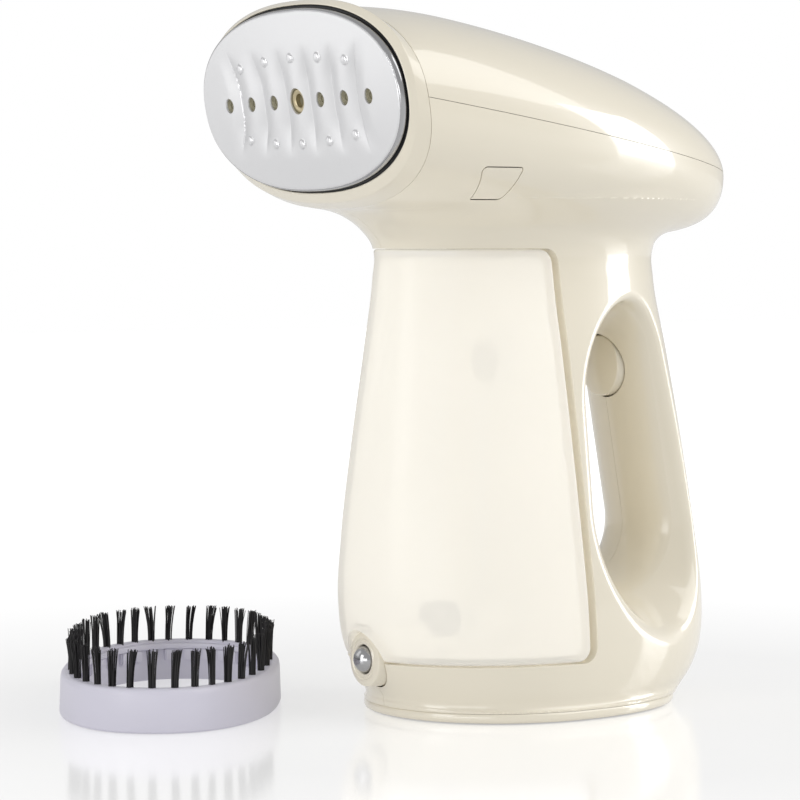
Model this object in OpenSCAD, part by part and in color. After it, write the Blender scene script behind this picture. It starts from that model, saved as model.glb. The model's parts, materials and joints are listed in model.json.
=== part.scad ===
// Handheld garment steamer with a removable water tank and a brush attachment.
// Millimetres. The foot stands on Z = 0 at the origin, the steam plate faces -Y,
// +X is the steamer's left side, and everything but the cut-outs mirrors in X.

/* [Steam head] */
// Height of the centre of the plate's face
plate_z = 198; // [196:0.5:200]
// Distance of the plate's face in front of the foot's centre
plate_y = 83.4; // [82:0.2:84]
// Lean of the plate, its top forward, in degrees
plate_lean = 10; // [8:0.5:12]
// Width of the steam plate
plate_w = 116.5; // [115:0.5:118]
// Height of the steam plate
plate_h = 57; // [56:0.5:58]
// Width of the head at its collar
head_w = 122.5; // [121:0.5:124]
// Length of the head from its collar to its tail
head_len = 156.5; // [150:0.5:160]

/* [Steam holes] */
// Bore of the six outer steam holes
steam_bore = 4.5; // [3.5:0.1:5]
// Spacing of the steam holes
steam_pitch = 13.9; // [13:0.1:14.2]
// Bore of the middle steam hole, which holds the nozzle
middle_bore = 8; // [7.6:0.1:8.4]

/* [Body] */
// Wall of the moulded shells
wall = 2.2; // [1.8:0.1:2.4]
// Height of the line where the tank stands on the base
deck_z = 18.4; // [18:0.1:19]
// Height of the tank's top edge
tank_top = 151.4; // [150:0.2:152]
// Width of the shadow groove behind the tank
groove = 2.2; // [1.8:0.1:2.6]

/* [Controls] */
// Diameter of the trigger button
trigger_d = 20.5; // [19:0.5:21]
// Height of the trigger's axis
trigger_z = 112; // [110:0.5:113]
// Diameter of the chrome release button
release_d = 9; // [8:0.5:10]
// Height of the release button's axis
release_z = 19; // [18.5:0.25:19.5]
// Pad diameter around the release button
pad_d = 18; // [17:0.5:19]

/* [Brush attachment] */
// Outer length of the brush frame
brush_len = 129; // [128:0.5:130]
// Outer width of the brush frame
brush_w = 72; // [71:0.5:73]
// Height of the brush frame's wall
brush_h = 14; // [12:0.5:15]
// Length of the bristles above the frame
bristle_len = 12; // [10:0.5:13]
// Number of bristle tufts
tufts = 34; // [28:2:36]

/* [Hidden] */

cream = [0.90, 0.87, 0.80];
milk = [0.93, 0.92, 0.89, 0.6];
lavender = [0.80, 0.79, 0.84];
satin_metal = [0.84, 0.84, 0.85];
dark_rubber = [0.12, 0.12, 0.13];
big = 400;
gap = 0.3;              // clearance between bodies that move apart
facets = 40;            // points round a moulded section
fine = 48;

// Outline of the body seen from above at rising heights: [z, half width, front, rear]
body_stations = [
    [2.4, 41, -48.6, 60.5], [8, 43, -51.5, 66.5], [15, 44.2, -56, 70.8], [24, 44.6, -60, 73],
    [36, 44.2, -62, 73], [58, 41.8, -61.4, 70.2], [88, 37.8, -58.2, 65.4], [118, 33.4, -54.2, 59.6],
    [142, 29.6, -51.4, 54.8], [150, 29, -51, 54.4], [154, 30, -52.4, 55.6], [158, 32.5, -56, 58],
    [162, 36.5, -60.5, 61.5], [168, 43.5, -66, 66]
];

// Head: the line where the widest points lie falls towards the tail
collar_y = -74;
collar_z = 195.9;
mid_fall = 0.135;
crown_y = -42;
crown_up = 35;
collar_half = 31.6;

// Finger opening in the side view: front edge, and the two round ends at the middle of the body
opening_front = 7.2;
opening_low = 39;
opening_top = 132.5;

board_z = 190;
pump_y = 22;
pump_z = 18.5;
valve_z = 29;
plug_z = 114.5;         // filler plug in the tank's back
dome_r = 26;            // dished face of the trigger
brush_x = -61;
brush_y = -95;
brush_turn = 55;

// ---- curves and skins ----

function oval_ring(half_w, up, down, power, n) = [
    for (i = [0:n - 1]) let (t = 360 * i / n, c = cos(t), s = sin(t))
        [half_w * sign(c) * pow(abs(c), 2 / power), (s > 0 ? up : down) * sign(s) * pow(abs(s), 2 / power)]
];
function oval(w, h, power = 2.25, n = 72) = oval_ring(w / 2, h / 2, h / 2, power, n);
// Smooth curve through four values
function smooth(a, b, c, d, t) =
    0.5 * (2 * b + (c - a) * t + (2 * a - 5 * b + 4 * c - d) * t * t + (3 * b - a - 3 * c + d) * t * t * t);
function station(i) = body_stations[max(0, min(len(body_stations) - 1, i))];
function body_ring(s, inset) = [
    for (i = [0:facets - 1]) let (t = 360 * i / facets)
        [(s[1] - inset) * cos(t), sin(t) > 0 ? (s[3] - inset) * sin(t) : -(s[2] + inset) * sin(t), s[0]]
];

// Closed solid through rings that all have the same number of points
module skin(rings) {
    n = len(rings[0]);
    last = len(rings) - 1;
    polyhedron([for (r = rings) each r], concat(
        [[for (i = [0:n - 1]) i]],
        [for (k = [0:last - 1]) for (i = [0:n - 1]) let (j = (i + 1) % n)
            each [[k * n + i, (k + 1) * n + i, k * n + j], [k * n + j, (k + 1) * n + i, (k + 1) * n + j]]],
        [[for (i = [n - 1:-1:0]) last * n + i]]
    ), convexity = 6);
}

// Round tube or bar swept along a list of points
function unit(v) = v / norm(v);
function path_ring(p, along, r, n) = let (
    side = unit(cross(along, abs(along[0]) > 0.9 ? [0, 1, 0] : [1, 0, 0])), up = cross(along, side)
) [for (i = [0:n - 1]) p + r * (cos(360 * i / n) * side + sin(360 * i / n) * up)];
module sweep(points, r, n = 8) {
    last = len(points) - 1;
    skin([for (i = [0:last]) path_ring(points[i],
        unit(points[min(last, i + 1)] - points[max(0, i - 1)]), r, n)]);
}

// Compression spring standing on Z = 0
module coil_spring(r, wire, length, turns) {
    steps = 12;
    sweep([for (i = [0:turns * steps]) [r * cos(360 * i / steps), r * sin(360 * i / steps),
        wire + (length - 2 * wire) * i / (turns * steps)]], wire, 6);
}

// A sculpted shell is taken as one body
module sculpted() resize([0, 0, 0]) children();

module ring(r_out, r_in, h) difference() {
    cylinder(r = r_out, h = h, $fn = fine);
    translate([0, 0, -1]) cylinder(r = r_in, h = h + 2, $fn = fine);
}

// A length along -Y or +Y, standing at y
module along_y(x, y, z) translate([x, y, z]) rotate([-90, 0, 0]) children();

// The plate's own frame: X across, Y up the plate, Z out of its face
module plate_frame(out = 0) translate([0, -plate_y, plate_z]) rotate([90 + plate_lean, 0, 0])
    translate([0, 0, out]) children();
module oval_disc(w, h, thick) linear_extrude(thick) polygon(oval(w, h));
module oval_band(w, h, border, thick) linear_extrude(thick) difference() {
    polygon(oval(w, h));
    polygon(oval(w - 2 * border, h - 2 * border));
}

// ---- outer forms ----

function head_ring(v, inset) = let (
    tail = head_len - inset, y = collar_y + tail * sin(90 * v), round = cos(90 * v),
    half = (head_w / 2 - inset) * round, back = (y - crown_y) / (collar_y + tail - crown_y),
    up = (y < crown_y ? crown_up - (crown_up - collar_half) * pow((crown_y - y) / (crown_y - collar_y), 2)
        : crown_up * sqrt(max(0, 1 - pow(abs(back), 1.8)))) - inset * (round > 0.05 ? 1 : round / 0.05),
    down = (collar_half - inset) * pow(round, 0.6), power = 2.4 - 0.3 * min(1, 2 * abs(v)),
    mid = collar_z - mid_fall * (y - collar_y), shear = tan(plate_lean) * max(0, 1 - 2.2 * v)
) [for (p = oval_ring(half, max(up, 0.02 * half), down, power, facets)) [p[0], y - p[1] * shear, mid + p[1]]];

head_steps = [0.995, 0.975, 0.94, 0.88, 0.8, 0.7, 0.58, 0.45, 0.32, 0.2, 0.1];
module head_form(inset = 0, start = 0) skin([for (v = concat(head_steps, [start])) head_ring(v, inset)]);

module body_form(inset = 0) {
    last = len(body_stations) - 1;
    skin([for (k = [0:last - 1]) for (t = k < last - 1 ? [0] : [0, 1]) body_ring(
        [for (c = [0:3]) smooth(station(k - 1)[c], station(k)[c], station(k + 1)[c], station(k + 2)[c], t)],
        inset)]);
}

module outer_form() { head_form(); body_form(); }
module inner_form() {
    head_form(wall, -0.02);
    intersection() {
        body_form(wall);
        translate([-big / 2, -big / 2, 3]) cube([big, big, 163]);
    }
}

// Side outline of the finger opening at a distance x from the middle: two round ends and their tangents
function opening_outline(x, grow) = let (
    wrap = 11 * (1 - sqrt(1 - pow(min(x, 18) / 19, 2))) + 2.2 * max(0, x - 18),
    sink = 19.5 * pow(x / 41, 2.2), lift = 5 * pow(x / 41, 2),
    low_r = (39.5 + wrap) / 2, top_r = (29 + wrap) / 2, front = opening_front - 2 * pow(x / 41, 2),
    low = [front + low_r, opening_low - sink + low_r],
    top = [front + top_r, opening_top + lift - top_r],
    low_z = min(low[1], top[1] - 4)
) [for (i = [0:31]) let (n = [cos(i * 11.25), sin(i * 11.25)],
    a = [low[0], low_z] * n + low_r, b = [top[0], top[1]] * n + top_r)
    (a > b ? [low[0], low_z] + (low_r + grow) * n : top + (top_r + grow) * n)];
module opening_cut(grow = 0) {
    xs = [0, 7, 12, 16, 20, 27, 35, 50];
    both = concat([for (i = [len(xs) - 1:-1:1]) -xs[i]], xs);
    skin([for (x = both) [for (p = opening_outline(abs(x), grow)) [x, p[0], p[1]]]]);
}

// Side outline of the tank: straight edges, rounded rear corners; back moves the rear edge
module tank_zone(back = 0, up = 0, down = 0, corner = 5) {
    rotate([90, 0, 90]) linear_extrude(big, center = true) hull() {
        translate([-90, deck_z - down]) square([1, tank_top + up - deck_z + down]);
        translate([0.5 + back - corner, deck_z - down + corner]) circle(corner, $fn = 32);
        translate([-4 + back - corner, tank_top + up - corner]) circle(corner, $fn = 32);
    }
}

// Half space under the parting line of the top cover
module below_parting(lower = 0) translate([0, collar_y, collar_z + 1.3 - lower])
    rotate([-atan(mid_fall), 0, 0]) translate([-big / 2, -big / 2, -big]) cube([big, big, big]);

module side_half(side) translate([side > 0 ? 0 : -big, -big / 2, -big / 2]) cube([big, big, big]);

// Screw posts join the halves across X; their heads lie on the steamer's right side
screw_posts = [[-41, 172], [30, 168], [47.2, 146], [48, 47], [12, 12]];

// ---- housing ----

module housing_shell() difference() {
    intersection() {
        union() {
            difference() { outer_form(); inner_form(); }
            opening_cut(wall);
            difference() {
                tank_zone(groove + wall, wall, 2);
                translate([-big / 2, -big, -big / 2]) cube([big, big - 62, big]);
            }
            along_y(0, 38, trigger_z) cylinder(r = trigger_d / 2 + 2, h = 8, $fn = 32);
            for (p = screw_posts) translate([0, p[0], p[1]]) rotate([0, 90, 0])
                cylinder(r = 3.4, h = 130, center = true, $fn = 10);
            for (k = [0, 1], x = [-8, 6]) translate([x, screw_posts[k][0] - 1, 140]) cube([2, 2, 50]);
        }
        outer_form();
        below_parting(0.15);
        translate([-big / 2, -big / 2, 3.2]) cube([big, big, big]);
    }
    opening_cut();
    tank_zone(groove, gap, 0);
    along_y(0, 24, trigger_z) cylinder(r = trigger_d / 2 + gap, h = 26, $fn = 40);
    along_y(0, -3, valve_z) cylinder(r = 6.4, h = 10, $fn = fine);
    along_y(0, 60, 16) cylinder(r = 7, h = 20, $fn = 32);
    along_y(0, -70, release_z) cylinder(r = pad_d / 2 + 0.7, h = 32, $fn = 32);
    for (p = screw_posts) translate([0, p[0], p[1]]) rotate([0, 90, 0]) {
        cylinder(r = 1.7, h = 40, center = true, $fn = 10);
        translate([0, 0, -78]) cylinder(r = 3, h = 70, $fn = 10);
    }
    for (side = [-1, 1]) plug_prism(side, 0.15);
}

// Slanted cap that fills the screw hole in the side of the head
module plug_prism(side, grow = 0) translate([side > 0 ? 34 : -94, -40.4, 171.8]) rotate([90, 0, 90])
    linear_extrude(60) offset(r = 1 + grow, $fn = 8)
        polygon([[-2.6, -4.2], [4.6, -4.2], [4.6, 4.2], [-6.2, 4.2]]);
module cover_plug(side) difference() {
    intersection() { plug_prism(side); outer_form(); }
    head_form(1.8, -0.02);
    body_form(1.8);
}

module left_housing() color(cream) sculpted() intersection() { housing_shell(); side_half(1); }
module right_housing() color(cream) sculpted() intersection() { housing_shell(); side_half(-1); }

module top_cover() color(cream) sculpted() difference() {
    head_form();
    head_form(wall, -0.02);
    below_parting(0);
}

module front_bezel() color(cream) sculpted() difference() {
    skin([
        [for (p = head_ring(0, 0)) p + [0, -0.1, 0]],
        for (p = [[0.3, 1], [0.75, 0.75], [1, 0]]) bezel_ring(p[0], 2.2 * (1 - p[1]))
    ]);
    plate_frame(-20) oval_disc(plate_w + 2.6, plate_h + 2.6, 40);
}
// The bezel's outside runs from the collar to a rounded lip 3 mm behind the plate's face
function bezel_ring(t, inset) = let (lip = 3.2)
    [for (i = [0:facets - 1]) let (
        back = head_ring(0, 0)[i], p = oval_ring(head_w / 2 - 1 - inset * 0.5, plate_h / 2 + 4 - inset,
            plate_h / 2 + 4.8 - inset, 2.4, facets)[i],
        front = [p[0], -plate_y + lip * cos(plate_lean) - p[1] * sin(plate_lean),
            plate_z + lip * sin(plate_lean) + p[1] * cos(plate_lean)]
    ) back * (1 - t) + front * t];

// ---- steam head ----

module steam_plate() color(satin_metal) plate_frame() difference() {
    union() {
        translate([0, 0, -2.6]) oval_disc(plate_w, plate_h, 2.6);
        translate([0, 0, -5]) oval_disc(plate_w - 3, plate_h - 3, 2.4);
    }
    for (i = [-3:3]) if (i != 0) translate([i * steam_pitch, 0, -6])
        cylinder(d = steam_bore, h = 10, $fn = 32);
    translate([0, 0, -6]) cylinder(d = middle_bore, h = 10, $fn = fine);
}
module plate_gasket() color(dark_rubber) plate_frame(-5) oval_band(plate_w + 2.2, plate_h + 2.2, 2.5, 2.2);
module centre_nozzle() color("peru") plate_frame(-5) ring(middle_bore / 2, 2.2, 4.2);
module boiler_body() color("silver") plate_frame(-17) difference() {
    oval_disc(102, 42, 12);
    translate([0, 0, -1]) linear_extrude(9) difference() {
        polygon(oval(86, 30));
        for (x = [-30, 0, 30]) translate([x - 1.2, x == 0 ? -20 : -10]) square([2.4, 30]);
    }
    for (i = [-3:3]) translate([i * steam_pitch, 0, 5]) cylinder(d = 3.4, h = 10, $fn = 32);
    for (p = boiler_screw_places) translate([p[0], p[1], -1]) cylinder(r = 1.25, h = 9, $fn = 24);
}
boiler_screw_places = [[-47, 0], [47, 0], [-31, 15], [31, 15], [-31, -15], [31, -15]];
module boiler_seal() color("darkorange") plate_frame(-17.8) linear_extrude(0.8) difference() {
    polygon(oval(97, 37));
    polygon(oval(87, 31));
    for (p = boiler_screw_places) translate(p) circle(2.6, $fn = 24);
}
module boiler_lid() color("gainsboro") plate_frame(-20.4) difference() {
    union() {
        oval_disc(102, 42, 2.6);
        translate([30, 0, -9]) cylinder(r = 4, h = 10, $fn = 32);
    }
    translate([30, 0, -10]) cylinder(r = 2, h = 14, $fn = 32);
    for (p = boiler_screw_places) translate([p[0], p[1], -1]) cylinder(r = 1.6, h = 9, $fn = 24);
}
module boiler_screws() color("dimgray") plate_frame(-22.4) for (p = boiler_screw_places) translate(p) {
    cylinder(r = 2.8, h = 2, $fn = 24);
    translate([0, 0, 2]) cylinder(r = 1.1, h = 9.5, $fn = 24);
}
// U-shaped sheathed element pressed on the lid
module heating_element() color("darkslategray") plate_frame(-24.2) sweep([for (t = [0:15:360])
    t < 181 ? [-12 - 14 * sin(t), 12 * cos(t), 0] : [-12 + 26 * (t - 180) / 180, -12, 0]], 2.4);
module thermostat() color("black") plate_frame(-27.4) {
    translate([10, 8, 3]) cylinder(r = 7.5, h = 4, $fn = 32);
    translate([10, 8, -1]) cylinder(r = 5.5, h = 4, $fn = 32);
}
module thermal_fuse() color("white") plate_frame(-22.6) translate([-6, -2, 0]) rotate([90, 0, 90])
    cylinder(r = 2.1, h = 14, $fn = 24);
// Thin skirt of mica board that keeps the heat off the head
module heat_shield() color("tan") plate_frame(-26) oval_band(105, 45, 0.9, 19);

// ---- electrics ----

module control_board() color("darkgreen") difference() {
    translate([-27, -8, board_z]) cube([54, 52, 1.6]);
    for (p = board_screw_places) translate([p[0], p[1], board_z - 1]) cylinder(r = 1.6, h = 4, $fn = 24);
}
board_screw_places = [[-23, -4], [23, -4], [-23, 40], [23, 40]];
module board_components() color("black") {
    translate([-18, 4, board_z + 1.6]) cube([16, 16, 12]);
    translate([4, 6, board_z + 1.6]) cylinder(r = 4, h = 12, $fn = 24);
    translate([14, 22, board_z + 1.6]) cylinder(r = 4, h = 12, $fn = 24);
    translate([-16, 26, board_z + 1.6]) cube([20, 7, 9]);
    translate([12, 2, board_z + 1.6]) cube([9, 12, 6]);
}
module board_screws() color("dimgray") for (p = board_screw_places) translate([p[0], p[1], 0]) {
    translate([0, 0, board_z + 1.6]) cylinder(r = 2.6, h = 1.8, $fn = 24);
    translate([0, 0, board_z - 6]) cylinder(r = 1.3, h = 7.6, $fn = 24);
}
module terminal_block() color("ivory") translate([-25.5, 40, 9]) difference() {
    cube([11, 8, 9]);
    for (x = [3, 8]) translate([x, -1, 4.5]) rotate([-90, 0, 0]) cylinder(r = 1.4, h = 12, $fn = 24);
}
module internal_wires() color("firebrick") for (k = [0, 1]) let (x = -7 - 2.4 * k) sweep([
    [-17.5 - 5 * k, 48.5, 13.5], [x - 4 - 3 * k, 52, 14], [x - 1, 56, 22], [x, 59, 34], [x, 60, 52],
    [x, 57.8, 78], [x, 54, 104], [x, 52.5, 122], [x, 43, 138], [x, 40, 156], [x, 36, 174], [x, 34, board_z - 1]
], 1.1, 6);
module cord_gland() color(cream) along_y(0, 62, 16) difference() {
    union() {
        cylinder(r = 6.8, h = 9, $fn = fine);
        translate([0, 0, -2]) cylinder(r = 8.5, h = 2, $fn = fine);
        translate([0, 0, 8.9]) cylinder(r1 = 6.8, r2 = 5.6, h = 2.4, $fn = fine);
    }
    translate([0, 0, -3]) cylinder(r = 3.6, h = 16, $fn = fine);
}

// ---- water circuit in the housing ----

module pump_body() color("whitesmoke") along_y(0, pump_y, pump_z) {
    cylinder(r = 8, h = 30, $fn = fine);
    translate([0, 0, 30]) cylinder(r = 1.9, h = 4, $fn = 32);
    translate([0, 0, -3]) cylinder(r = 2.4, h = 3, $fn = 32);
}
module pump_coil() color("sienna") difference() {
    translate([-13, pump_y + 6, pump_z - 12]) cube([26, 18, 25]);
    along_y(0, pump_y, pump_z) cylinder(r = 8.1, h = 40, $fn = fine);
}
module pump_mounts() color(dark_rubber) for (y = [1, 25]) along_y(0, pump_y + y, pump_z) ring(11, 8, 4);
module inlet_socket() color("lightgray") along_y(0, 2.6, valve_z) difference() {
    cylinder(r = 6.2, h = 7, $fn = fine);
    translate([0, 0, -1]) cylinder(r = 4.2, h = 5.5, $fn = fine);
    translate([0, 0, -1]) cylinder(r = 1.4, h = 12, $fn = 32);
}
module inlet_seal() color(dark_rubber) along_y(0, 1.8, valve_z) ring(6.2, 4, 0.8);
module suction_hose() color("gray") sweep([[0, 9.7, 29], [0, 11.5, 28.9], [0, 13.4, 27.2], [0, 14, 24],
    [0, 14.6, 20.8], [0, 15.8, 18.9], [0, 17, 18.5], [0, 18.9, 18.5]], 2.2);
module pressure_hose() color("gray") sweep([
    [0, 56.1, 18.5], [0, 57.3, 18.5], [1.2, 58, 20.4], [4, 58, 24.5], [8, 58.4, 31], [11, 59.5, 40],
    [12, 60, 56], [12, 57, 80], [12.4, 53, 100], [12.6, 50.5, 112], [12.6, 47.5, 124], [13, 40, 140],
    [18, 22, 158], [25, -6, 172], [29, -30, 184], [30, -47.5, 192.3]
], 1.9);
module hose_clips() color("silver") {
    along_y(0, 17.2, pump_z) ring(3.1, 2.4, 1.4);
    plate_frame(-31) translate([30, 0, 0]) ring(4.9, 4.05, 2);
}

// ---- trigger ----

module trigger_button() color(cream) along_y(0, 0, trigger_z) {
    intersection() {
        translate([0, 0, 34.6]) cylinder(d = trigger_d, h = 12, $fn = fine);
        translate([0, 0, 34.6 + dome_r]) sphere(r = dome_r, $fn = 96);
    }
    translate([-4, -13, 46.6]) cube([8, 26, 1.6]);
    translate([-2, 12.9, 46.6]) cube([4, 8, 1.6]);
}
module trigger_spring() color("silver") along_y(0, 48.4, trigger_z) coil_spring(4, 0.5, 8.6, 4);
module trigger_switch() color("black") translate([-3, 52.6, 84]) cube([6, 6.4, 14]);

// ---- tank ----

module tank_shell() color(milk) sculpted() difference() {
    intersection() { body_form(); tank_zone(); }
    difference() {
        intersection() { body_form(2); tank_zone(-2, -2, -2, 3.4); }
        along_y(0, -80, release_z) cylinder(r = pad_d / 2 + 2.6, h = 43.2, $fn = 32);
        along_y(0, -17, valve_z) cylinder(r = 7, h = 30, $fn = fine);
        along_y(0, -10, plug_z) cylinder(r = 9, h = 30, $fn = fine);
    }
    along_y(0, -80, release_z) cylinder(r = pad_d / 2 + 0.5, h = 41.2, $fn = 40);
    along_y(0, -16, valve_z) cylinder(r = 5.1, h = 30, $fn = fine);
    along_y(0, -20, valve_z) cylinder(r = 2.4, h = 10, $fn = fine);
    along_y(0, -12, plug_z) cylinder(r = 7.1, h = 30, $fn = fine);
}
module tank_valve() color("whitesmoke") along_y(0, -15.6, valve_z) difference() {
    union() {
        cylinder(r = 5, h = 13, $fn = fine);
        translate([0, 0, 13]) cylinder(r = 3.7, h = 7.4, $fn = fine);
    }
    translate([0, 0, -1]) cylinder(r = 2.8, h = 13, $fn = 32);
    translate([0, 0, -1]) cylinder(r = 1.4, h = 30, $fn = 32);
}
module valve_spring() color("silver") along_y(0, -15.4, valve_z) coil_spring(2.1, 0.35, 10, 6);
module pickup_tube() color("whitesmoke") translate([0, -12, 0]) difference() {
    union() {
        translate([0, 0, 37.4]) cylinder(r = 2.8, h = 66, $fn = 32);
        translate([0, 0, 36.4]) cylinder(r = 4.2, h = 2.4, $fn = 32);
    }
    translate([0, 0, 38]) cylinder(r = 1.7, h = 80, $fn = 32);
}
module intake_filter() color("gray") translate([0, -24, 30.2]) rotate([90, 0, 0]) difference() {
    cylinder(r = 6, h = 9, $fn = 32);
    translate([0, 0, 1.5]) cylinder(r = 4, h = 9, $fn = 32);
}
module fill_plug() color("lightgray") along_y(0, -11.6, plug_z) {
    cylinder(r = 7, h = 8, $fn = fine);
    translate([0, 0, -1.4]) ring(5.4, 3.8, 1.4);
}

// ---- tank release ----

module release_pad() color(cream) difference() {
    along_y(0, -58.8, release_z) {
        cylinder(r = pad_d / 2, h = 4, $fn = fine);
        translate([0, 0, 4]) cylinder(r = 7, h = 10, $fn = fine);
    }
    along_y(0, -59.8, release_z) cylinder(r = release_d / 2 + 0.3, h = 11, $fn = fine);
    along_y(0, -59.8, release_z) cylinder(r = 2, h = 17, $fn = fine);
}
module release_button() color("silver") along_y(0, 0, release_z) {
    translate([0, 0, -57.4]) cylinder(d = release_d, h = 4.4, $fn = fine);
    translate([0, 0, -57.4]) intersection() {
        sphere(d = release_d, $fn = fine);
        translate([0, 0, -big]) cylinder(r = 20, h = big);
    }
    translate([0, 0, -53.1]) cylinder(r = 1.7, h = 9.6, $fn = 32);
}
module release_spring() color("silver") along_y(0, -52.9, release_z) coil_spring(2.9, 0.4, 3.9, 3);
module latch_hook() color("dimgray") translate([-5, -43.4, release_z - 3]) cube([10, 1.4, 9]);

// ---- base ----

module foot_outline(inset) polygon([for (p = oval_ring(44 - inset, 58.5 - inset, 49.8 - inset, 2.1, 96)) p]);
module base_foot() color(cream) difference() {
    union() {
        translate([0, 0, 0.8]) linear_extrude(2.4) foot_outline(0);
        translate([0, 0, 3.2]) linear_extrude(2.6) difference() { foot_outline(6.5); foot_outline(8.5); }
        for (p = base_screw_places) translate([p[0], p[1], 3.2]) cylinder(r = 3, h = 3, $fn = 24);
    }
    for (p = base_screw_places) translate([p[0], p[1], 0]) {
        cylinder(r = 1.6, h = 9, $fn = 24);
        cylinder(r = 3.2, h = 2.2, $fn = 24);
    }
}
base_screw_places = [[-22, -24], [22, -24], [-22, 36], [22, 36]];
module foot_pad() color(dark_rubber) linear_extrude(0.8) foot_outline(2.5);
module base_screws() color("dimgray") for (p = base_screw_places) translate([p[0], p[1], 0.9]) {
    cylinder(r = 2.9, h = 1.3, $fn = 24);
    translate([0, 0, 1.3]) cylinder(r = 1.3, h = 9, $fn = 24);
}
module housing_screws() color("dimgray") for (p = screw_posts) translate([-10, p[0], p[1]]) rotate([0, 90, 0]) {
    cylinder(r = 2.8, h = 2, $fn = 24);
    translate([0, 0, 2]) cylinder(r = 1.4, h = 14, $fn = 24);
}
module left_screw_cover() color(cream) sculpted() cover_plug(1);
module right_screw_cover() color(cream) sculpted() cover_plug(-1);

// ---- brush attachment ----

module brush_place() translate([brush_x, brush_y, 0]) rotate([0, 0, -90 + brush_turn]) children();
module brush_frame() color(lavender) brush_place() {
    oval_band(brush_len, brush_w, 5, brush_h);
    translate([0, 0, brush_h - 3]) oval_band(brush_len - 9.9, brush_w - 9.9, 1.6, 3);
}
module brush_lugs() color(lavender) brush_place() for (p = oval(brush_len - 10, brush_w - 10, 2.25, 24))
    translate([p[0] * 0.985, p[1] * 0.97, 4]) rotate([0, 0, atan2(p[1] * 3, p[0])])
        translate([-3, -1.6, 0]) cube([2.2, 3.2, brush_h - 8]);
module bristle_tufts() color(dark_rubber) brush_place() for (i = [0:tufts - 1])
    let (p = oval(brush_len - 6, brush_w - 6, 2.25, tufts)[i])
        translate([p[0], p[1], brush_h]) cylinder(r = 1.2, h = bristle_len, $fn = 16);

left_housing();
right_housing();
top_cover();
front_bezel();
steam_plate();
plate_gasket();
centre_nozzle();
heat_shield();
boiler_body();
boiler_seal();
boiler_lid();
boiler_screws();
heating_element();
thermostat();
thermal_fuse();
control_board();
board_components();
board_screws();
pressure_hose();
suction_hose();
hose_clips();
pump_body();
pump_coil();
pump_mounts();
inlet_socket();
inlet_seal();
terminal_block();
internal_wires();
cord_gland();
trigger_button();
trigger_spring();
trigger_switch();
tank_shell();
tank_valve();
valve_spring();
pickup_tube();
intake_filter();
fill_plug();
release_pad();
release_button();
release_spring();
latch_hook();
base_foot();
foot_pad();
base_screws();
housing_screws();
left_screw_cover();
right_screw_cover();
brush_frame();
brush_lugs();
bristle_tufts();
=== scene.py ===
import json
import math
import random

import bmesh
import bpy
import numpy as np
from mathutils import Matrix, Vector


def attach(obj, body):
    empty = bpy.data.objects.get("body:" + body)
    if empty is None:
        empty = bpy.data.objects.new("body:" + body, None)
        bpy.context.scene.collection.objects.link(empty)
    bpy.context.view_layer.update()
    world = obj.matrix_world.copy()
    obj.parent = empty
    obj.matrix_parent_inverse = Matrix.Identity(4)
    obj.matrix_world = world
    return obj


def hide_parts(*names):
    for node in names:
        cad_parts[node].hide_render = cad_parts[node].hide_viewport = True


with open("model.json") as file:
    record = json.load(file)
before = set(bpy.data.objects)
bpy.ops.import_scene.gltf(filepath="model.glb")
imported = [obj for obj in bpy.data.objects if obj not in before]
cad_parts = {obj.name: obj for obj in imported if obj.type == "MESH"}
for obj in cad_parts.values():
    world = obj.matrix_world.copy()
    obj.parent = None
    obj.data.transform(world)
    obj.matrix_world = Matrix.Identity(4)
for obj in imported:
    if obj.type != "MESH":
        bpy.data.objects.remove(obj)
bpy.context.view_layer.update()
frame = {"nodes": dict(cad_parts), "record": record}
nodes = frame["nodes"]
MM = 0.001
LEAN = math.radians(10)
TAN_LEAN = math.tan(LEAN)

# ---------------------------------------------------------------- forms

COLLAR_Y, COLLAR_Z, FALL = -74.0, 195.9, 0.135  # where the head starts, and how much its axis falls
CROWN_Y, CROWN_UP, COLLAR_HALF = -42.0, 35.0, 31.6  # the head's highest place, and half its front's height
HEAD_W, HEAD_LEN = 122.5, 156.5
PLATE_Y, PLATE_Z, PLATE_W, PLATE_H, PLATE_POWER = 83.4, 198.0, 116.5, 57.0, 2.25
PARTING_Z = 197.2
NECK_TOP = 168
BLEND = 4.0  # radius where two outside forms meet
DECK, TANK_TOP, GROOVE, WALL = 18.4, 151.4, 2.2, 2.2
TANK_REAR, TANK_LEAN = 0.5, 4.5  # the tank's rear at the deck, and how far it leans forward to its top
TRIGGER_Z, RELEASE_Z, VALVE_Z, PLUG_Z, GLAND_Z = 112.0, 19.0, 29.0, 114.5, 16
FOOT_HALF, FOOT_REAR, FOOT_FRONT, FOOT_POWER = 44, 58.5, 49.8, 2.1
OPEN_FRONT, OPEN_LOW, OPEN_HIGH, OPEN_WIDE, OPEN_NARROW = 7.2, 39, 132.5, 39.5, 29  # in the middle plane
# The body from the foot up: height, half width, front, rear
STATIONS = np.array([
    [2.4, 41, -48.6, 60.5], [8, 43, -51.5, 66.5], [15, 44.2, -56, 70.8], [24, 44.6, -60, 73],
    [36, 44.2, -62, 73], [58, 41.8, -61.4, 70.2], [88, 37.8, -58.2, 65.4], [118, 33.4, -54.2, 59.6],
    [142, 29.6, -51.4, 54.8], [150, 29, -51, 54.4], [154, 30, -52.4, 55.6], [158, 32.5, -56, 58],
    [162, 36.5, -60.5, 61.5], [168, 43.5, -66, 66]])


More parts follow.
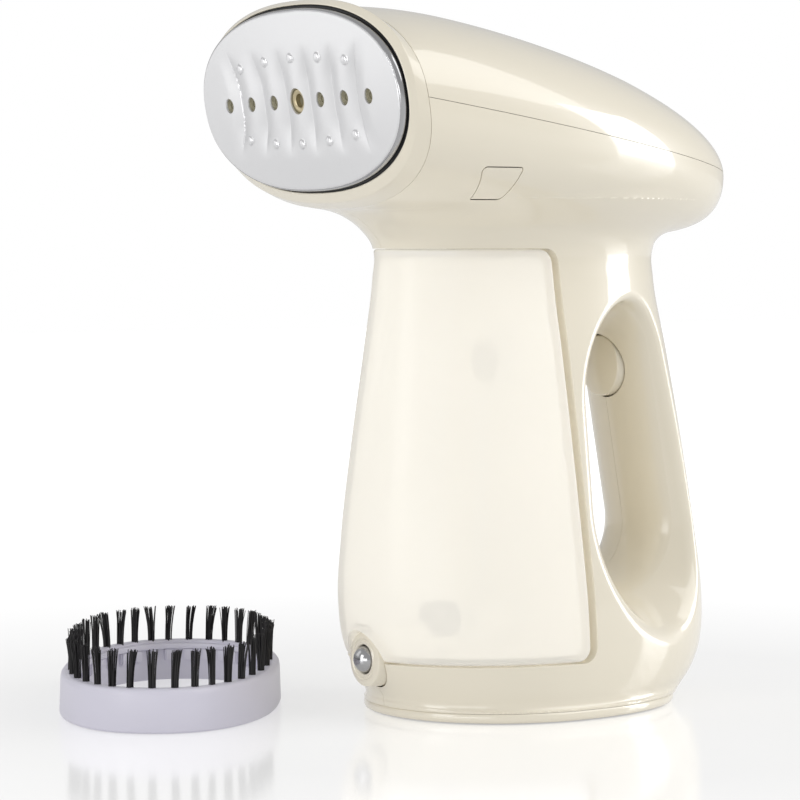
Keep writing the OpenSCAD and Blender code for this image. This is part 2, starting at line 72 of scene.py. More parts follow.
def hermite_table():
    """The body's half width, front and rear at fine steps of height, smooth through the stations."""
    z, v = STATIONS[:, 0], STATIONS[:, 1:]
    tangent = np.gradient(v, z, axis=0)
    zs = np.linspace(z[0], z[-1], 1400)
    i = np.clip(np.searchsorted(z, zs) - 1, 0, len(z) - 2)
    h = (z[i + 1] - z[i])[:, None]
    t = ((zs - z[i]) / (z[i + 1] - z[i]))[:, None]
    out = (v[i] * (2 * t**3 - 3 * t**2 + 1) + tangent[i] * h * (t**3 - 2 * t**2 + t)
           + v[i + 1] * (3 * t**2 - 2 * t**3) + tangent[i + 1] * h * (t**3 - t**2))
    return zs, out


BODY_Z, BODY_V = hermite_table()
PROBE = 0.4  # step along the axis that turns a ratio into a distance


def smax(a, b, k):
    """The larger of two distances, with a round of about k where they meet."""
    h = np.clip(0.5 + 0.5 * (a - b) / k, 0, 1)
    return b + (a - b) * h + k * h * (1 - h)


def smin(a, b, k):
    return -smax(-a, -b, k)


def smooth(a, b, x):
    t = np.clip((x - a) / (b - a), 0, 1)
    return t * t * (3 - 2 * t)


def body_rho(x, y, z):
    """Ratio of a point's radius to the body's at its height, 1 on the surface, and the ratio's slope."""
    w, f, r = (np.interp(z, BODY_Z, BODY_V[:, k]) for k in range(3))
    d = np.where(y > 0, r, -f)
    rho = np.sqrt((x / w) ** 2 + (y / d) ** 2) + 1e-9
    grad = np.sqrt((x / w**2) ** 2 + (y / d**2) ** 2) / rho
    return rho, grad


def body(x, y, z):
    rho, grad = body_rho(x, y, z)
    up, _ = body_rho(x, y, z + PROBE)
    return (rho - 1) / np.sqrt(grad**2 + ((up - rho) / PROBE) ** 2 + 1e-9)


def head_rho(x, y, z):
    """The same ratio and slope for the head, and the place along its axis. Its lean fades rearward."""
    y0 = y
    for _ in range(3):
        h = z - COLLAR_Z + FALL * (y0 - COLLAR_Y)
        s = np.clip((y0 - COLLAR_Y) / HEAD_LEN, -0.06, 0.9999)
        v = np.arcsin(s) * (2 / math.pi)
        y0 = y + h * TAN_LEAN * np.clip(1 - 2.2 * v, 0, 1)
    around = np.sqrt(1 - s * s)
    half = HEAD_W / 2 * around
    back = (y0 - CROWN_Y) / (COLLAR_Y + HEAD_LEN - CROWN_Y)
    front = CROWN_UP - (CROWN_UP - COLLAR_HALF) * ((CROWN_Y - y0) / (CROWN_Y - COLLAR_Y)) ** 2
    up = np.where(y0 < CROWN_Y, front, CROWN_UP * np.sqrt(np.clip(1 - np.abs(back) ** 1.8, 1e-5, 1)))
    side = np.where(h > 0, up, COLLAR_HALF * around**0.6)
    p = 2.4 - 0.3 * np.clip(2 * v, 0, 1)
    a, b = np.abs(x) / half, np.abs(h) / side
    rho = (a**p + b**p + 1e-12) ** (1 / p)
    grad = np.sqrt((a ** (p - 1) / half) ** 2 + (b ** (p - 1) / side) ** 2) * rho ** (1 - p)
    return rho, grad, y0


def head(x, y, z):
    rho, grad, y0 = head_rho(x, y, z)
    on, _, _ = head_rho(x, y + PROBE, z)
    d = (rho - 1) / np.sqrt(grad**2 + ((on - rho) / PROBE) ** 2 + 1e-9)
    return np.maximum(d, y0 - (COLLAR_Y + HEAD_LEN))


def skin_form(x, y, z):
    """The body and the head, blended at the neck."""
    return smin(np.maximum(body(x, y, z), z - NECK_TOP), head(x, y, z), BLEND)


def opening(x, y, z):
    """Distance to the finger opening.

    Its side outline is the hull of a lower and an upper circle, and it widens away from the middle plane.
    """
    ax = np.minimum(np.abs(x), 46)
    wrap = 11 * (1 - np.sqrt(1 - (np.minimum(ax, 18) / 19) ** 2)) + 2.2 * np.maximum(0, ax - 18)
    sink, lift = 19.5 * (ax / 41) ** 2.2, 5 * (ax / 41) ** 2
    r1, r2 = (OPEN_WIDE + wrap) / 2, (OPEN_NARROW + wrap) / 2
    edge = OPEN_FRONT - 2 * (ax / 41) ** 2
    z1, z2 = OPEN_LOW - sink + r1, OPEN_HIGH + lift - r2
    z1 = np.minimum(z1, z2 - 4)
    # both circles touch the same front edge, and the rest is the distance to a cone between two circles
    by, bz = r2 - r1, z2 - z1
    py, pz = y - edge - r1, z - z1
    hh = by * by + bz * bz
    qx, qy = np.abs(-bz * py + by * pz) / hh, (by * py + bz * pz) / hh
    taper = r1 - r2
    cx = np.sqrt(np.maximum(hh - taper * taper, 1e-6))
    k, m, n = cx * qy - taper * qx, cx * qx + taper * qy, qx * qx + qy * qy
    above = np.sqrt(hh * (n + 1 - 2 * qy)) - r2
    return np.where(k < 0, np.sqrt(hh * n) - r1, np.where(k > cx, above, m - r1))


def tank_zone(y, z, back=0.0, up=0.0, down=0.0, corner=5.0):
    """Distance to the tank's side outline, with round rear corners."""
    rear = (y - TANK_REAR - back + (z - DECK) * TANK_LEAN / (TANK_TOP - DECK)) / 1.0006
    a, b = rear + corner, np.maximum(z - TANK_TOP - up, DECK - down - z) + corner
    return np.minimum(np.maximum(a, b), 0) + np.hypot(np.maximum(a, 0), np.maximum(b, 0)) - corner


def foot_distance(x, y, inset):
    """Distance to the foot's outline, seen from above."""
    a, b = np.abs(x) / (FOOT_HALF - inset), np.abs(y) / np.where(y > 0, FOOT_REAR - inset, FOOT_FRONT - inset)
    return ((a**FOOT_POWER + b**FOOT_POWER + 1e-12) ** (1 / FOOT_POWER) - 1) * 46


def shell_form(x, y, z):
    """The outside of the body and head, with a fillet down to the foot, less the finger opening."""
    d = smin(skin_form(x, y, z), np.maximum(foot_distance(x, y, 0.7), z - 3.4), BLEND)
    return smax(d, -opening(x, y, z), BLEND)


def cavity_form(x, y, z):
    """The hollow inside the housing, clear of the finger opening and the tank's bay."""
    d = skin_form(x, y, z) + WALL
    d = smax(d, WALL + 0.6 - opening(x, y, z), 2.0)
    return np.maximum(d, WALL + 0.4 - tank_zone(y, z, GROOVE, 0, 2))


def tank_form(x, y, z):
    """The tank: the body's form inside its zone, with a core that stands a little prouder at the top."""
    d = smax(body(x, y, z) + 0.05, tank_zone(y, z, 0, -0.05, -0.45, 4.7), 1.4)
    return np.minimum(d, np.maximum(body(x, y, z) + 4, tank_zone(y, z, -4, 0.06, -3, 3)))


def tank_cavity(x, y, z):
    """The water space, which keeps clear of the release pad, the valve and the fill plug."""
    d = smax(body(x, y, z) + 2.0, tank_zone(y, z, -2, -2.2, -2.2, 3.4), 1.5)
    d = smax(d, -np.maximum(np.hypot(x, z - RELEASE_Z) - 11.6, y + 36.8), 0.8)
    for height, r, start in ((VALVE_Z, 7.0, -17.0), (PLUG_Z, 9.0, -10.0)):
        d = smax(d, -np.maximum(np.hypot(x, z - height) - r, start - y), 0.8)
    return d


# ---------------------------------------------------------------- meshes from forms

def net(form, lo, hi, h):
    """A closed quad mesh of form < 0 inside the box from lo to hi, at steps of h."""
    axes = [np.arange(lo[k], hi[k] + h, h) for k in range(3)]
    f = np.empty([len(a) for a in axes], np.float32)
    y, z = np.meshgrid(axes[1], axes[2], indexing="ij")
    for i, x in enumerate(axes[0]):
        f[i] = form(np.full_like(y, x), y, z)
    f[0], f[-1], f[:, 0], f[:, -1], f[:, :, 0], f[:, :, -1] = (h,) * 6
    inside = f < 0
    n = [s - 1 for s in f.shape]
    count = np.zeros(n, np.uint8)
    for c in range(8):
        d = (c & 1, c >> 1 & 1, c >> 2)
        count += inside[d[0]:n[0] + d[0], d[1]:n[1] + d[1], d[2]:n[2] + d[2]]
    cells = np.argwhere((count > 0) & (count < 8))
    index = np.full(n, -1, np.int64)
    index[tuple(cells.T)] = np.arange(len(cells))
    total, hits = np.zeros((len(cells), 3)), np.zeros(len(cells))
    corners = np.array([(c & 1, c >> 1 & 1, c >> 2) for c in range(8)])
    values = np.stack([f[tuple((cells + c).T)] for c in corners], 1)
    for a in range(8):
        for bit in (1, 2, 4):
            b = a | bit
            if b == a:
                continue
            va, vb = values[:, a], values[:, b]
            cross = (va < 0) != (vb < 0)
            t = np.where(cross, va / np.where(cross, va - vb, 1), 0)
            total += np.where(cross[:, None], corners[a] + t[:, None] * (corners[b] - corners[a]), 0)
            hits += cross
    verts = (cells + total / hits[:, None]) * h + np.array(lo)
    faces = []
    for axis in range(3):
        u, w = (axis + 1) % 3, (axis + 2) % 3
        step = np.zeros(3, int)
        step[axis] = 1
        a = inside[tuple(slice(0, s - step[k]) for k, s in enumerate(f.shape))]
        b = inside[tuple(slice(step[k], s) for k, s in enumerate(f.shape))]
        where = np.argwhere(a != b)
        where = where[(where[:, u] > 0) & (where[:, w] > 0) & (where[:, u] < n[u]) & (where[:, w] < n[w])]
        here, eu, ew = np.zeros(3, int), np.zeros(3, int), np.zeros(3, int)
        eu[u], ew[w] = 1, 1
        quad = np.stack([index[tuple((where - o).T)] for o in (eu + ew, ew, here, eu)], 1)
        flip = ~a[tuple(where.T)]
        quad[flip] = quad[flip][:, ::-1]
        faces.append(quad)
    return refine(form, verts, 0.45 * h), np.concatenate(faces)


def slope(form, p, e=0.04):
    """The form's slope at the points, from differences over twice e."""
    g = np.empty_like(p)
    for k in range(3):
        q = [p.copy(), p.copy()]
        q[0][:, k] += e
        q[1][:, k] -= e
        g[:, k] = (form(*q[0].T) - form(*q[1].T)) / (2 * e)
    return g


def refine(form, p, most, rounds=3):
    """Moves points on to the form's surface."""
    for _ in range(rounds):
        g = slope(form, p)
        move = form(*p.T)[:, None] * g / (np.sum(g * g, 1)[:, None] + 1e-9)
        size = np.linalg.norm(move, axis=1)[:, None]
        p = p - move * np.minimum(1, most / (size + 1e-9))
    return p


def mesh_object(name, verts, faces):
    """An object from points in millimetres."""
    mesh = bpy.data.meshes.new(name)
    verts = np.asarray(verts, float) * MM
    mesh.from_pydata(verts.tolist(), [], faces.tolist() if isinstance(faces, np.ndarray) else faces)
    mesh.update()
    mesh.shade_smooth()
    ob = bpy.data.objects.new(name, mesh)
    bpy.context.scene.collection.objects.link(ob)
    return ob


def drop(*obs):
    for o in obs:
        bpy.data.objects.remove(o)


def apply_modifiers(ob):
    bpy.context.view_layer.update()
    shown = ob.evaluated_get(bpy.context.evaluated_depsgraph_get())
    mesh = bpy.data.meshes.new_from_object(shown)
    ob.modifiers.clear()
    ob.data = mesh
    return ob


def carve(ob, cutter, operation="DIFFERENCE", keep_cutter=False):
    """Cuts a mesh with another closed one, and keeps the result as plain mesh."""
    m = ob.modifiers.new("cut", "BOOLEAN")
    m.object, m.operation, m.solver = cutter, operation, "MANIFOLD"
    apply_modifiers(ob)
    if not keep_cutter:
        drop(cutter)
    return ob


def finish_normals(ob, form, angle=35, reach=0.04):
    """Shades the mesh by the form's own slope, and flat where a cut face turns away from it."""
    mesh = ob.data
    co = np.empty(len(mesh.vertices) * 3, np.float32)
    mesh.vertices.foreach_get("co", co)
    co = co.reshape(-1, 3).astype(float) / MM
    g = slope(form, co, reach)
    g /= np.linalg.norm(g, axis=1)[:, None] + 1e-9
    on = np.abs(form(*co.T)) < 1
    face_n = np.empty(len(mesh.polygons) * 3, np.float32)
    mesh.polygons.foreach_get("normal", face_n)
    face_n = face_n.reshape(-1, 3)
    totals = np.empty(len(mesh.polygons), np.int32)
    mesh.polygons.foreach_get("loop_total", totals)
    loop_vert = np.empty(len(mesh.loops), np.int32)
    mesh.loops.foreach_get("vertex_index", loop_vert)
    per_loop = np.repeat(face_n, totals, axis=0)
    own = g[loop_vert]
    use = on[loop_vert] & (np.sum(own * per_loop, 1) > math.cos(math.radians(angle)))
    corner = np.empty(len(mesh.loops) * 3, np.float32)
    mesh.set_sharp_from_angle(angle=math.radians(30))
    mesh.corner_normals.foreach_get("vector", corner)
    corner = corner.reshape(-1, 3)
    mesh.normals_split_custom_set(np.where(use[:, None], own, corner).astype(float).tolist())


def block(lo, hi):
    x, y, z = zip(lo, hi)
    verts = [(x[i], y[j], z[k]) for i in (0, 1) for j in (0, 1) for k in (0, 1)]
    faces = [(0, 1, 3, 2), (4, 6, 7, 5), (0, 4, 5, 1), (2, 3, 7, 6), (0, 2, 6, 4), (1, 5, 7, 3)]
    return mesh_object("block", verts, faces)


def prism_x(outline, x0, x1):
    """A closed prism along X over a counter-clockwise outline of (y, z)."""
    n = len(outline)
    verts = [(x0, y, z) for y, z in outline] + [(x1, y, z) for y, z in outline]
    faces = [tuple(range(n))[::-1], tuple(range(n, 2 * n))]
    faces += [(i, (i + 1) % n, n + (i + 1) % n, n + i) for i in range(n)]
    return mesh_object("prism", verts, faces)


def lathe(profile, name, steps=96, at=(0, 0, 0), closed=False):
    """Turns a profile of (radius, y) round the Y axis. The profile runs from the front to the rear."""
    rings, verts, faces = [], [], []
    for r, y in profile:
        if r < 1e-6:
            rings.append([len(verts)])
            verts.append((at[0], at[1] + y, at[2]))
        else:
            rings.append(list(range(len(verts), len(verts) + steps)))
            verts += [(at[0] + r * math.cos(2 * math.pi * i / steps), at[1] + y,
                       at[2] + r * math.sin(2 * math.pi * i / steps)) for i in range(steps)]
    pairs = list(zip(rings, rings[1:])) + ([(rings[-1], rings[0])] if closed else [])
    for a, b in pairs:
        for i in range(steps):
            j = (i + 1) % steps
            q = [a[i % len(a)], b[i % len(b)], b[j % len(b)], a[j % len(a)]]
            q = [v for k, v in enumerate(q) if v not in q[:k]]
            if len(q) > 2:
                faces.append(tuple(q))
    return mesh_object(name, verts, faces)


def loft(rings, name, closed=False):
    """A skin through rings of equal length, with an end face at both ends unless it closes on itself."""
    n = len(rings[0])
    verts = [p for r in rings for p in r]
    faces = []
    last = len(rings) - (0 if closed else 1)
    for k in range(last):
        k2 = (k + 1) % len(rings)
        for i in range(n):
            j = (i + 1) % n
            faces.append((k * n + i, k2 * n + i, k2 * n + j, k * n + j))
    if not closed:
        faces += [tuple(range(n)), tuple((len(rings) - 1) * n + i for i in range(n))[::-1]]
    return mesh_object(name, verts, faces)


def arc(cx, cy, r, a0, a1, n=6):
    """Points on a circle from angle a0 to angle a1, in degrees."""
    turns = [math.radians(a0 + (a1 - a0) * i / n) for i in range(n + 1)]
    return [(cx + r * math.cos(a), cy + r * math.sin(a)) for a in turns]


def outward(ob, angle=40):
    """Makes the normals face out and keeps only real edges sharp."""
    bm = bmesh.new()
    bm.from_mesh(ob.data)
    bmesh.ops.recalc_face_normals(bm, faces=bm.faces)
    bm.to_mesh(ob.data)
    bm.free()
    ob.data.shade_smooth()
    ob.data.set_sharp_from_angle(angle=math.radians(angle))
    return ob


def super_ring(a, up, down, power, n):
    """n points on an oval of half width a, which reaches up on one side and down on the other."""
    out = []
    for i in range(n):
        t = 2 * math.pi * i / n
        c, s = math.cos(t), math.sin(t)
        out.append((a * math.copysign(abs(c) ** (2 / power), c),
                    (up if s > 0 else down) * math.copysign(abs(s) ** (2 / power), s)))
    return out


def plate_point(x, y, out):
    """A point given in the plate's own frame: across, up its face, and out of it."""
    return (x, -PLATE_Y - y * math.sin(LEAN) - out * math.cos(LEAN),
            PLATE_Z + y * math.cos(LEAN) - out * math.sin(LEAN))


# ---------------------------------------------------------------- materials

def material(name, colour, rough=0.4, metal=0.0, coat=0.0, vary=0.03, grain=900.0, bump=0.02, **extra):
    """Principled material with faint colour clouds, uneven roughness and a fine grain."""
    m = bpy.data.materials.new(name)
    m.use_nodes = True
    t = m.node_tree
    b = t.nodes["Principled BSDF"]
    b.inputs["Metallic"].default_value = metal
    b.inputs["Coat Weight"].default_value = coat
    b.inputs["Coat Roughness"].default_value = 0.06
    for key, value in extra.items():
        b.inputs[key.replace("_", " ")].default_value = value
    where = t.nodes.new("ShaderNodeTexCoord")
    cloud = t.nodes.new("ShaderNodeTexNoise")
    cloud.inputs["Scale"].default_value = 28
    cloud.inputs["Detail"].default_value = 4
    ramp = t.nodes.new("ShaderNodeValToRGB")
    low, high = ramp.color_ramp.elements
    low.position, high.position = 0.3, 0.7
    low.color = (*[c * (1 - vary) for c in colour], 1)
    high.color = (*[min(1, c * (1 + vary)) for c in colour], 1)
    spread = t.nodes.new("ShaderNodeMapRange")
    spread.inputs["To Min"].default_value = rough * 0.85
    spread.inputs["To Max"].default_value = rough * 1.15
    fine = t.nodes.new("ShaderNodeTexNoise")
    fine.inputs["Scale"].default_value = grain
    fine.inputs["Detail"].default_value = 2
    relief = t.nodes.new("ShaderNodeBump")
    relief.inputs["Strength"].default_value = bump
    relief.inputs["Distance"].default_value = 0.0004
    link = t.links.new
    link(where.outputs["Object"], cloud.inputs["Vector"])
    link(where.outputs["Object"], fine.inputs["Vector"])
    link(cloud.outputs["Fac"], ramp.inputs["Fac"])
    link(ramp.outputs["Color"], b.inputs["Base Color"])
    link(cloud.outputs["Fac"], spread.inputs["Value"])
    link(spread.outputs["Result"], b.inputs["Roughness"])
    link(fine.outputs["Fac"], relief.inputs["Height"])
    link(relief.outputs["Normal"], b.inputs["Normal"])
    return m


def frosted(name):
    """Milky translucent plastic: most light is scattered, and a share goes through blurred."""
    m = material(name, (0.96, 0.95, 0.92), 0.33, coat=0.25, vary=0.012, grain=1400, bump=0.015)
    t = m.node_tree
    b = t.nodes["Principled BSDF"]
    milk = t.nodes.new("ShaderNodeBsdfTranslucent")
    milk.inputs["Color"].default_value = (0.95, 0.94, 0.91, 1)
    # Painted light: a faint warm glow that brightens the tank, though it is no lamp
    b.inputs["Emission Color"].default_value = (1.0, 0.965, 0.9, 1)
    b.inputs["Emission Strength"].default_value = 0.25
    haze = t.nodes.new("ShaderNodeBsdfRefraction")
    haze.inputs["Color"].default_value = (0.97, 0.96, 0.93, 1)
    haze.inputs["Roughness"].default_value = 0.12
    haze.inputs["IOR"].default_value = 1.06
    inner = t.nodes.new("ShaderNodeMixShader")
    inner.inputs[0].default_value = 0.62
    outer = t.nodes.new("ShaderNodeMixShader")
    outer.inputs[0].default_value = 0.6
    link = t.links.new
    link(milk.outputs[0], inner.inputs[1])
    link(haze.outputs[0], inner.inputs[2])
    link(b.outputs[0], outer.inputs[1])
    link(inner.outputs[0], outer.inputs[2])
    link(outer.outputs[0], t.nodes["Material Output"].inputs["Surface"])
    return m


CREAM = (0.80, 0.742, 0.61)
MATERIALS = {
    "cream_plastic": material("cream_plastic", CREAM, 0.32, coat=0.9, vary=0.008, bump=0.01, Coat_IOR=1.6),
    "tank_plastic": frosted("tank_plastic"),
    "plate_metal": material("plate_metal", (0.80, 0.80, 0.81), 0.34, metal=0.9, vary=0.015, grain=2200,
                            bump=0.03),
    "chrome": material("chrome", (0.66, 0.66, 0.67), 0.10, metal=1.0, vary=0.02, bump=0.004),
    # Painted reflection: chrome darkened to stand in for dark surroundings mirrored in the plate's rim and
    # the release knob
    "chrome_painted_dark_reflection": material("chrome_painted_dark_reflection", (0.46, 0.46, 0.47), 0.16, metal=1.0, vary=0.03, bump=0.004),
    "black_rubber": material("black_rubber", (0.012, 0.012, 0.013), 0.5, vary=0.2, bump=0.1),
    "brass": material("brass", (0.55, 0.47, 0.30), 0.35, metal=0.8, vary=0.1, bump=0.05),
    "cast_aluminium": material("cast_aluminium", (0.55, 0.55, 0.56), 0.5, metal=0.9, vary=0.08, bump=0.25),
    "silicone": material("silicone", (0.75, 0.28, 0.10), 0.5, vary=0.05),
    "steel": material("steel", (0.62, 0.62, 0.63), 0.25, metal=1.0, vary=0.04),
    "element_sheath": material("element_sheath", (0.16, 0.17, 0.16), 0.5, metal=0.7, vary=0.15, bump=0.1),
    "mica": material("mica", (0.62, 0.52, 0.34), 0.4, vary=0.12, bump=0.1),
    "black_plastic": material("black_plastic", (0.03, 0.03, 0.032), 0.4, vary=0.1, bump=0.06),
    "white_plastic": material("white_plastic", (0.78, 0.77, 0.74), 0.35, vary=0.02),
    "copper": material("copper", (0.70, 0.32, 0.16), 0.35, metal=1.0, vary=0.12, grain=260, bump=0.3),
    "board": material("board", (0.02, 0.20, 0.07), 0.35, vary=0.15),
    "wire": material("wire", (0.55, 0.05, 0.04), 0.4, vary=0.05),
    "lavender_plastic": material("lavender_plastic", (0.64, 0.625, 0.715), 0.38, vary=0.02, bump=0.03),
    "bristle": material("bristle", (0.014, 0.013, 0.014), 0.42, vary=0.3, grain=500),
    # Painted shade: a dark grey for the parts inside the tank, standing in for their shade seen through the
    # milky walls
    "tank_insert_painted_shade": material("tank_insert_painted_shade", (0.33, 0.31, 0.27), 0.4, vary=0.05),
    # Painted light: a paler rubber for the foot's pad, so that the shade under the foot looks light
    "pad_rubber_painted_light": material("pad_rubber_painted_light", (0.34, 0.33, 0.31), 0.6, vary=0.08, bump=0.1),
    "hole_lining": material("hole_lining", (0.27, 0.25, 0.17), 0.5, metal=0.4, vary=0.15, bump=0.1),
}


def paint(ob, slot, material_name=None):
    ob.data.materials.clear()
    ob.data.materials.append(MATERIALS[material_name or slot])
    return ob


def piece(ob, name, body, slot, *replaced, look=None):
    """Hands a finished mesh to its body, with the CAD nodes that it stands for."""
    ob.name = ob.data.name = name
    paint(ob, slot, look)
    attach(ob, body)
    if replaced:
        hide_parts(*replaced)
    return ob


# Parts seen through the milky tank are painted a darker grey as painted shade, for the shade they make
# through it, and the foot's pad is painted a paler rubber as painted light, against the shade under the foot
LIGHT_AND_SHADE_LOOK = {"tank_valve": "tank_insert_painted_shade", "pickup_tube": "tank_insert_painted_shade", "intake_filter": "tank_insert_painted_shade",
            "foot_pad": "pad_rubber_painted_light"}
for entry in frame["record"]["materials"]:
    for name in entry.get("nodes", []):
        if name in nodes:
            nodes[name].data.materials.clear()
            nodes[name].data.materials.append(MATERIALS[LIGHT_AND_SHADE_LOOK.get(name, entry["slot"])])

# ---------------------------------------------------------------- housing and top cover

FINE = 0.7
SEAM = 0.08  # each moulding stops this far from the line where two meet
BEYOND = 90  # past the front and the rear
SPLIT_X, HEAD_SIDE = 0.06, 70  # each housing half runs from beside the middle plane to past the head's side


def parting(y, off=0.0):
    """Height of the line between the housing and the top cover."""
    return PARTING_Z - FALL * (y - COLLAR_Y) + off


def collar(z, off=0.0):
    """Place along Y of the head's front edge, where the bezel starts."""
    return COLLAR_Y - (z - COLLAR_Z) * TAN_LEAN + off


def corner_at(off_p, off_c):
    """Where the parting line meets the collar."""
    y = COLLAR_Y
    for _ in range(8):
        y = collar(parting(y, off_p), off_c)
    return (y, parting(y, off_p))


def drum(r, y0, y1, z, steps=96):
    return outward(lathe([(0, y0), (r, y0), (r, y1), (0, y1)], "drum", steps, (0, 0, z)))


def tank_outline(back, up, down, corner):
    """Side outline of the tank's bay, open to the front. Its rear edge leans 1.9 degrees."""
    bottom, top = DECK - down, TANK_TOP + up
    out = [(-BEYOND, bottom)]
    out += arc(TANK_REAR + back - corner, bottom + corner, corner, -90, 1.9, 10)
    out += arc(TANK_REAR - TANK_LEAN + back - corner, top - corner, corner, 1.9, 90, 10)
    return out + [(-BEYOND, top)]


def cap_outline(grow):
    """The slanted cap over the screw in the head's side, with round corners."""
    centres = [(-43.8, 168.0), (-35.5, 168.0), (-35.5, 175.6), (-48.0, 175.6)]
    out = []
    for k, (y, z) in enumerate(centres):
        (y0, z0), (y1, z1) = centres[k - 1], centres[(k + 1) % 4]
        start, end = math.degrees(math.atan2(y0 - y, z - z0)), math.degrees(math.atan2(y - y1, z1 - z))
        out += arc(y, z, 1 + grow, start, end + (360 if end < start else 0), 5)
    return out


def duplicate(ob, name, mirror=False):
    twin = bpy.data.objects.new(name, ob.data.copy())
    bpy.context.scene.collection.objects.link(twin)
    if mirror:
        twin.data.transform(Matrix.Scale(-1, 4, (1, 0, 0)))
        twin.data.flip_normals()
    return twin


cave = mesh_object("cave", *net(cavity_form, (-64, -80, 0), (64, 84, 236), 1.6))
left = mesh_object("left", *net(shell_form, (-1.6, -77, 0.5), (64.5, 85, 204), FINE))
edge_y, edge_z = corner_at(-SEAM, SEAM)
carve(left, prism_x([(-BEYOND, 3.2), (BEYOND, 3.2), (BEYOND, parting(BEYOND, -SEAM)), (edge_y, edge_z),
                     (collar(160, SEAM), 160), (-BEYOND, 160)], SPLIT_X, HEAD_SIDE), "INTERSECT")
carve(left, prism_x(tank_outline(GROOVE, 0.14, 0, 5), -HEAD_SIDE, HEAD_SIDE))
carve(left, cave, keep_cutter=True)
left_cap = carve(duplicate(left, "left_cap"), prism_x(cap_outline(-0.05), 34, 94), "INTERSECT")
carve(left, prism_x(cap_outline(0.25), 34, 94))
for r, y0, y1, z in ((10.75, 24, 50, TRIGGER_Z), (9.45, -70, -38, RELEASE_Z), (7.1, 60, 80, GLAND_Z),
                     (6.3, -3, 9, VALVE_Z)):
    carve(left, drum(r, y0, y1, z))
right = duplicate(left, "right", mirror=True)
right_cap = duplicate(left_cap, "right_cap", mirror=True)
cover = mesh_object("cover", *net(head, (-64, -83, 168), (64, 85, 236), FINE))
edge_y, edge_z = corner_at(SEAM, SEAM)
carve(cover, prism_x([(edge_y, edge_z), (BEYOND, parting(BEYOND, SEAM)), (BEYOND, 250),
                      (collar(250, SEAM), 250)], -HEAD_SIDE, HEAD_SIDE), "INTERSECT")
carve(cover, cave)
for ob, name, form in ((left, "left_housing", shell_form), (right, "right_housing", shell_form),
                       (left_cap, "left_screw_cover", shell_form),
                       (right_cap, "right_screw_cover", shell_form), (cover, "top_cover", head)):
    finish_normals(ob, form)
    piece(ob, name + "_shell", "steamer", "cream_plastic", name)

# ---------------------------------------------------------------- bezel, plate, gasket and nozzle

AROUND = 320


def plate_ring(half, up, down, power, out, middle=0.0):
    return [plate_point(x, y + middle, out) for x, y in super_ring(half, up, down, power, AROUND)]


def between(a, b, t):
    return [tuple(p * (1 - t) + q * t for p, q in zip(u, v)) for u, v in zip(a, b)]


COLLAR_OUT, COLLAR_MID, COLLAR_UP = -8.8, -3.7, COLLAR_HALF / math.cos(LEAN)
at_collar = plate_ring(HEAD_W / 2, COLLAR_UP, COLLAR_UP, 2.4, COLLAR_OUT, COLLAR_MID)
crease = plate_ring(60.75, 31.2, 33.6, 2.4, -5.1)
brow = plate_ring(60.5, 31.0, 33.1, 2.4, -4.5)
lip = plate_ring(59.85, 30.25, 30.5, 2.3, -2.9)
lip_in = plate_ring(59.6, 30.0, 30.0, 2.27, -2.75)
rings = [plate_ring(59, 30, 30, 2.4, COLLAR_OUT, COLLAR_MID), at_collar]
rings += [between(at_collar, crease, t) for t in (0.02, 0.2, 0.4, 0.6, 0.8, 0.93)]
rings += [crease, between(crease, brow, 0.5), brow]
rings += [between(brow, lip, t) for t in (0.1, 0.3, 0.5, 0.7, 0.9)]
rings += [lip, between(lip, lip_in, 0.5), lip_in]
rings += [plate_ring(59.45, 29.8, 29.8, PLATE_POWER, o) for o in (-3.0, -5.6)]
rings += [plate_ring(58.2, 28.6, 28.6, PLATE_POWER, -5.7)]
piece(outward(loft(rings, "bezel", closed=True), 70), "front_bezel_ring", "steamer", "cream_plastic",
      "front_bezel")

PITCH = 13.9
HOLES = [(PITCH * k, 2.25) for k in (-3, -2, -1, 1, 2, 3)] + [(0.0, 4.0)]
STUDS = [(0.0, 13.7)] + [(s * x, y) for s in (-1, 1) for x, y in ((16.0, 13.2), (31.5, 11.6))]


def oval_distance(x, y, half_w, half_h, p=PLATE_POWER):
    a, b = np.abs(x) / half_w, np.abs(y) / half_h
    rho = (a**p + b**p + 1e-12) ** (1 / p)
    grad = np.sqrt((a ** (p - 1) / half_w) ** 2 + (b ** (p - 1) / half_h) ** 2) * rho ** (1 - p)
    return (rho - 1) / (grad + 1e-9)


def plate_height(x, y):
    """Height of the plate's face: five ridges with sharp valleys between them, a falling edge, and studs."""
    u = x / (PITCH * (1 + 0.07 * (y / 13) ** 2))
    part = u - np.clip(np.round(u), -2, 2)
    beyond = np.clip(np.abs(part) - 0.5, 0, None)
    low = np.where(beyond > 0, 1 - smooth(-0.3, 0.5, beyond), (2 * part) ** 2)
    h = -1.1 * low * (1 - smooth(6.0, 18.5, np.abs(y)))
    h = h + 0.12 * smooth(0.0, -14.0, oval_distance(x, y, PLATE_W / 2, PLATE_H / 2)) - 0.12
    for sx, sy in STUDS:
        for side in (-1, 1):
            away = np.hypot(x - sx, y - side * sy)
            h = h + 0.8 * np.sqrt(np.clip(1 - (away / 1.6) ** 4, 0, 1))
    return h


def plate_form(x, y, z):
    """x across, y up the plate, z out of its face."""
    edge = oval_distance(x, y, PLATE_W / 2 - 0.15, PLATE_H / 2 - 0.15)
    return smax(smax((z - plate_height(x, y)) * 0.93, edge, 0.5), -1.9 - z, 0.2)


